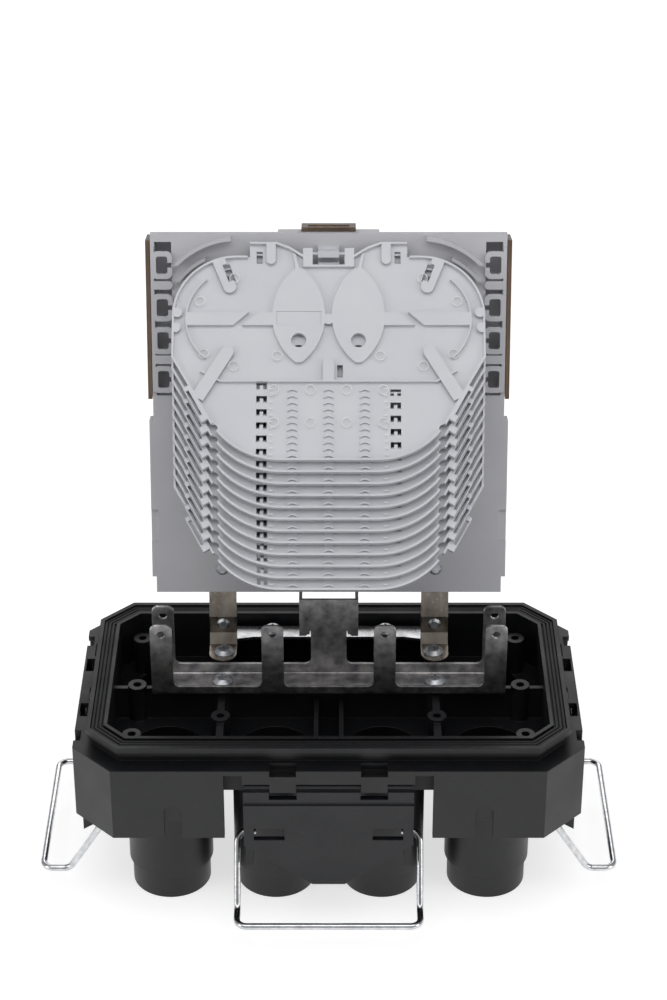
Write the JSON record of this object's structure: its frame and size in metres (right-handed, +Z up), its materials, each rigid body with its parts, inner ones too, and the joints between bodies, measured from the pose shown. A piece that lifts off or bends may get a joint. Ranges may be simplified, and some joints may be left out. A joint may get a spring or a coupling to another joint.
{
  "type": "fibre splice closure base with tray stack",
  "caption": "Open fibre splice closure: base with cable ports, lever latches with wire bails, metal bracket, leaning organizer and a stack of hinged splice trays",
  "frame": {"origin": "centre of the pattern of cable ports, on the plane of the port ends", "axes": "+X to the right seen from the front, +Y to the back, +Z up"},
  "size_m": [0.2804, 0.1848, 0.2982],
  "materials": {
    "black_plastic": "fine matt moulded black",
    "lever_plastic": "matt moulded black",
    "black_rubber": "dull rubber",
    "bracket_steel": "mottled stainless sheet",
    "bright_steel": "bright zinc plate",
    "spring_steel": "rolled spring steel",
    "zinc_steel": "zinc plated",
    "wire_steel": "drawn stainless wire",
    "grey_plastic": "matt moulded light grey",
    "tray_plastic": "matt moulded light grey",
    "smoked_plastic": "smoked translucent plastic"
  },
  "bodies": {
    "base": {"base_body": "black_plastic", "rim_seal": "black_rubber", "mounting_bracket": "bracket_steel", "bracket_screw_left": "zinc_steel", "bracket_screw_right": "zinc_steel", "strap_left": "spring_steel", "strap_right": "spring_steel", "strap_screw_left": "zinc_steel", "strap_screw_right": "zinc_steel", "cross_bar": "bright_steel", "bar_screw_left": "zinc_steel", "bar_screw_right": "zinc_steel", "strap_rivet_left": "zinc_steel", "strap_rivet_right": "zinc_steel", "panel_rivets_left": "zinc_steel", "panel_rivets_right": "zinc_steel", "organizer_panel": "grey_plastic", "tray_rack": "tray_plastic", "side_guide_left": "grey_plastic", "side_guide_right": "grey_plastic", "top_guide_left": "grey_plastic", "top_guide_right": "grey_plastic"},
    "lever_front": {"lever_front": "lever_plastic"},
    "bail_front": {"bail_front": "wire_steel"},
    "lever_back": {"lever_back": "lever_plastic"},
    "bail_back": {"bail_back": "wire_steel"},
    "lever_left": {"lever_left": "lever_plastic"},
    "bail_left": {"bail_left": "wire_steel"},
    "lever_right": {"lever_right": "lever_plastic"},
    "bail_right": {"bail_right": "wire_steel"},
    "rear_cover": {"rear_cover": "smoked_plastic"},
    "tray_01": {"tray_01": "tray_plastic"},
    "tray_02": {"tray_02": "tray_plastic"},
    "tray_03": {"tray_03": "tray_plastic"},
    "tray_04": {"tray_04": "tray_plastic"},
    "tray_05": {"tray_05": "tray_plastic"},
    "tray_06": {"tray_06": "tray_plastic"},
    "tray_07": {"tray_07": "tray_plastic"},
    "tray_08": {"tray_08": "tray_plastic"},
    "tray_09": {"tray_09": "tray_plastic"},
    "tray_10": {"tray_10": "tray_plastic"},
    "tray_11": {"tray_11": "tray_plastic"},
    "tray_12": {"tray_12": "tray_plastic"}
  },
  "joints": [
    {"name": "lever_front_pivot", "type": "hinge", "parent": "base", "child": "lever_front", "pos_m": [0, -0.06635, 0.0834], "axis": [-1, 0, 0], "range_deg": [0, 95]},
    {"name": "bail_front_pivot", "type": "hinge", "parent": "lever_front", "child": "bail_front", "pos_m": [0, -0.05455, 0.0484], "axis": [1, 0, 0], "range_deg": [-110, 20]},
    {"name": "lever_back_pivot", "type": "hinge", "parent": "base", "child": "lever_back", "pos_m": [0, 0.06635, 0.0834], "axis": [1, 0, 0], "range_deg": [0, 95]},
    {"name": "bail_back_pivot", "type": "hinge", "parent": "lever_back", "child": "bail_back", "pos_m": [0, 0.05455, 0.0484], "axis": [-1, 0, 0], "range_deg": [-110, 20]},
    {"name": "lever_left_pivot", "type": "hinge", "parent": "base", "child": "lever_left", "pos_m": [-0.11785, 0, 0.0834], "axis": [0, 1, 0], "range_deg": [0, 95]},
    {"name": "bail_left_pivot", "type": "hinge", "parent": "lever_left", "child": "bail_left", "pos_m": [-0.10605, 0, 0.0484], "axis": [0, -1, 0], "range_deg": [-110, 20]},
    {"name": "lever_right_pivot", "type": "hinge", "parent": "base", "child": "lever_right", "pos_m": [0.11785, 0, 0.0834], "axis": [0, -1, 0], "range_deg": [0, 95]},
    {"name": "bail_right_pivot", "type": "hinge", "parent": "lever_right", "child": "bail_right", "pos_m": [0.10605, 0, 0.0484], "axis": [0, 1, 0], "range_deg": [-110, 20]},
    {"name": "rear_cover_hinge", "type": "hinge", "parent": "base", "child": "rear_cover", "pos_m": [0, 0.0692, 0.22056], "axis": [-1, 0, 0], "range_deg": [0, 95]},
    {"name": "tray_01_hinge", "type": "hinge", "parent": "base", "child": "tray_01", "pos_m": [0, 0.07219, 0.29046], "axis": [-1, 0, 0], "range_deg": [0, 100]},
    {"name": "tray_02_hinge", "type": "hinge", "parent": "base", "child": "tray_02", "pos_m": [0, 0.07082, 0.28493], "axis": [-1, 0, 0], "range_deg": [0, 100]},
    {"name": "tray_03_hinge", "type": "hinge", "parent": "base", "child": "tray_03", "pos_m": [0, 0.06944, 0.2794], "axis": [-1, 0, 0], "range_deg": [0, 100]},
    {"name": "tray_04_hinge", "type": "hinge", "parent": "base", "child": "tray_04", "pos_m": [0, 0.06806, 0.27387], "axis": [-1, 0, 0], "range_deg": [0, 100]},
    {"name": "tray_05_hinge", "type": "hinge", "parent": "base", "child": "tray_05", "pos_m": [0, 0.06668, 0.26834], "axis": [-1, 0, 0], "range_deg": [0, 100]},
    {"name": "tray_06_hinge", "type": "hinge", "parent": "base", "child": "tray_06", "pos_m": [0, 0.0653, 0.26281], "axis": [-1, 0, 0], "range_deg": [0, 100]},
    {"name": "tray_07_hinge", "type": "hinge", "parent": "base", "child": "tray_07", "pos_m": [0, 0.06392, 0.25728], "axis": [-1, 0, 0], "range_deg": [0, 100]},
    {"name": "tray_08_hinge", "type": "hinge", "parent": "base", "child": "tray_08", "pos_m": [0, 0.06254, 0.25174], "axis": [-1, 0, 0], "range_deg": [0, 100]},
    {"name": "tray_09_hinge", "type": "hinge", "parent": "base", "child": "tray_09", "pos_m": [0, 0.06116, 0.24621], "axis": [-1, 0, 0], "range_deg": [0, 100]},
    {"name": "tray_10_hinge", "type": "hinge", "parent": "base", "child": "tray_10", "pos_m": [0, 0.05978, 0.24068], "axis": [-1, 0, 0], "range_deg": [0, 100]},
    {"name": "tray_11_hinge", "type": "hinge", "parent": "base", "child": "tray_11", "pos_m": [0, 0.0584, 0.23515], "axis": [-1, 0, 0], "range_deg": [0, 100]},
    {"name": "tray_12_hinge", "type": "hinge", "parent": "base", "child": "tray_12", "pos_m": [0, 0.05703, 0.22962], "axis": [-1, 0, 0], "range_deg": [0, 100]}
  ],
  "couplings": [
    {"joint": "tray_02_hinge", "follows": "tray_01_hinge", "ratio": 1},
    {"joint": "tray_03_hinge", "follows": "tray_01_hinge", "ratio": 1},
    {"joint": "tray_04_hinge", "follows": "tray_01_hinge", "ratio": 1},
    {"joint": "tray_05_hinge", "follows": "tray_01_hinge", "ratio": 1},
    {"joint": "tray_06_hinge", "follows": "tray_01_hinge", "ratio": 1},
    {"joint": "tray_07_hinge", "follows": "tray_01_hinge", "ratio": 1},
    {"joint": "tray_08_hinge", "follows": "tray_01_hinge", "ratio": 1},
    {"joint": "tray_09_hinge", "follows": "tray_01_hinge", "ratio": 1},
    {"joint": "tray_10_hinge", "follows": "tray_01_hinge", "ratio": 1},
    {"joint": "tray_11_hinge", "follows": "tray_01_hinge", "ratio": 1},
    {"joint": "tray_12_hinge", "follows": "tray_01_hinge", "ratio": 1}
  ]
}
